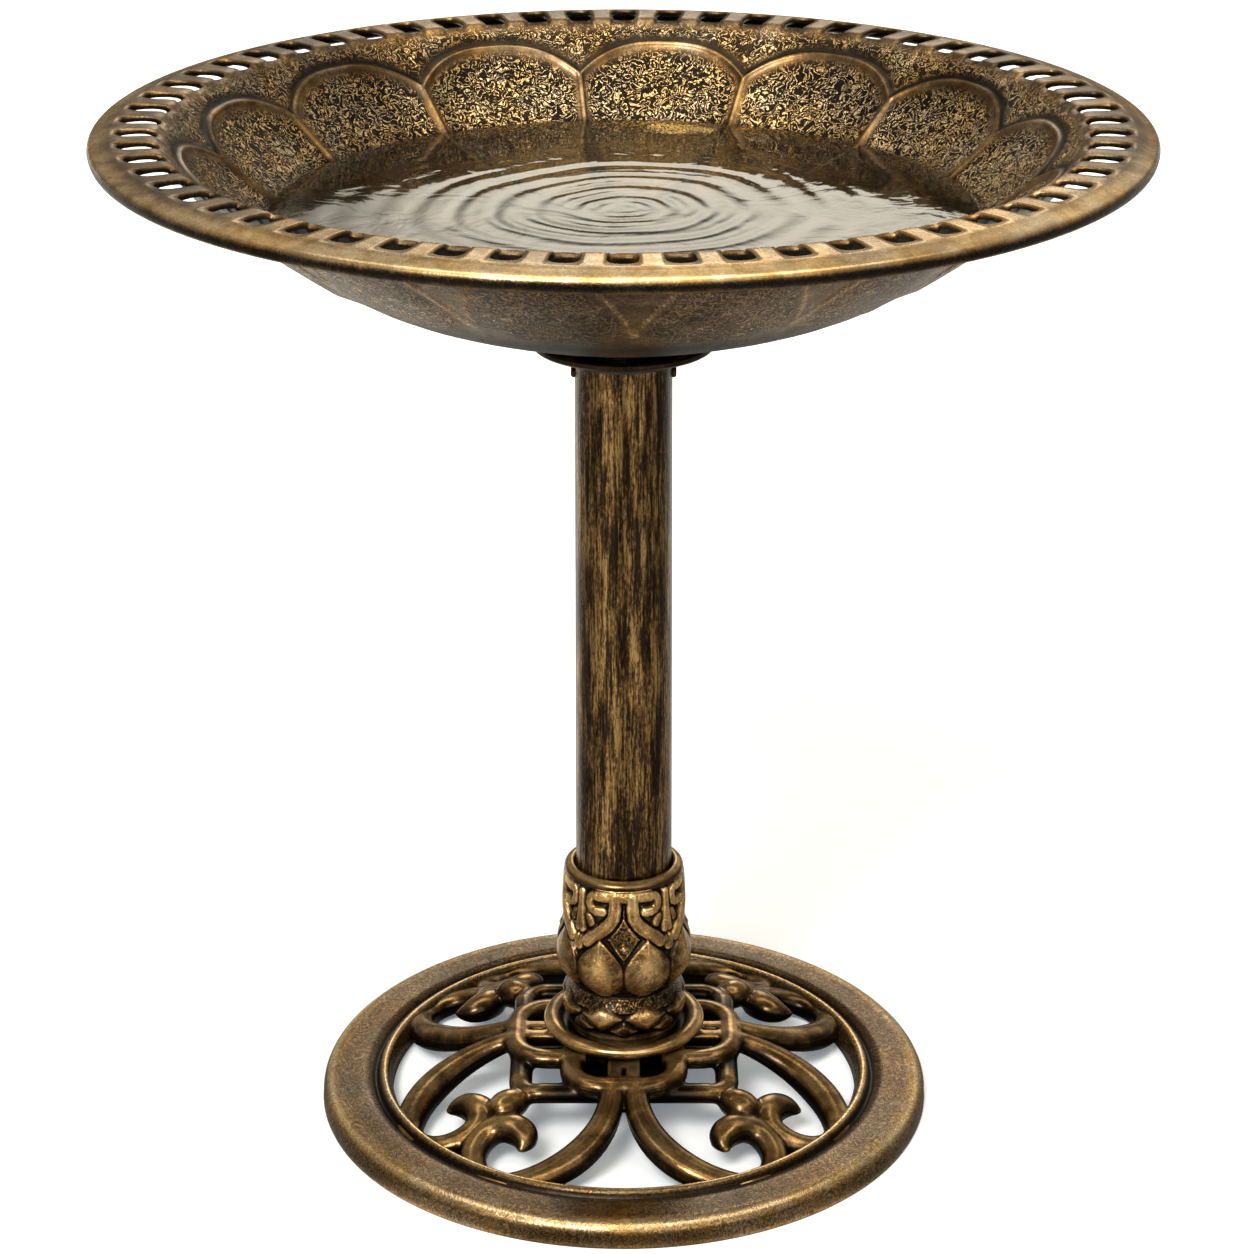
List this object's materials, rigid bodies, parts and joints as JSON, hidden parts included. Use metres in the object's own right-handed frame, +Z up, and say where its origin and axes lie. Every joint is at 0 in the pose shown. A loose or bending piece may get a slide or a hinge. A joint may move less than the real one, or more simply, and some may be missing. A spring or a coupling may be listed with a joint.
{
  "type": "bird bath",
  "caption": "Pedestal bird bath with a slotted, petal-walled round bowl on a slim column, an ornamented urn collar and an openwork scroll base.",
  "frame": {"origin": "centre of the base, on the ground", "axes": "+Z up along the column, -Y towards the front; the column's snap buttons face along X"},
  "size_m": [0.52, 0.52, 0.54],
  "materials": {
    "base_bronze": "antiqued bronze paint on moulded resin, satin",
    "trim_bronze": "antiqued bronze paint rubbed bright on the high parts, satin",
    "column_bronze": "antiqued bronze paint with fine upright streaks, satin",
    "button_bronze": "dark bronze paint, satin",
    "lock_bronze": "dark bronze paint, satin",
    "bowl_bronze": "antiqued bronze paint on moulded resin, satin",
    "black_resin": "moulded black resin, matt",
    "zinc_steel": "zinc plated",
    "spring_steel": "tempered steel, bright",
    "black_rubber": "soft rubber, matt"
  },
  "bodies": {
    "stand": {"base": "base_bronze", "saucer": "trim_bronze", "urn_sleeve": "trim_bronze", "urn_top_ring": "trim_bronze", "column_tube": "column_bronze", "column_foot": "black_resin", "foot_screws": "zinc_steel", "foot_washers": "zinc_steel", "column_cap": "black_resin", "snap_clip": "spring_steel", "retainer_ring": "spring_steel", "seat_pad": "black_rubber"},
    "left_button": {"button_left": "button_bronze"},
    "right_button": {"button_right": "button_bronze"},
    "lock_ring": {"lock_ring": "lock_bronze"},
    "bowl": {"bowl": "bowl_bronze", "bowl_hub": "black_resin", "hub_screws": "zinc_steel"}
  },
  "joints": [
    {"name": "bowl_lift", "type": "slide", "parent": "stand", "child": "bowl", "axis": [0, 0, 1], "range_m": [0, 0.1]},
    {"name": "lock_ring_turn", "type": "hinge", "parent": "stand", "child": "lock_ring", "pos_m": [0, 0, 0.4227], "axis": [0, 0, 1], "range_deg": [0, 60]},
    {"name": "button_left_press", "type": "slide", "parent": "stand", "child": "left_button", "axis": [1, 0, 0], "range_m": [0, 0.002], "stiffness_N_per_m": 1500, "springref_m": -0.003, "deforming": ["snap_clip"]},
    {"name": "button_right_press", "type": "slide", "parent": "stand", "child": "right_button", "axis": [-1, 0, 0], "range_m": [0, 0.002], "stiffness_N_per_m": 1500, "springref_m": -0.003}
  ]
}
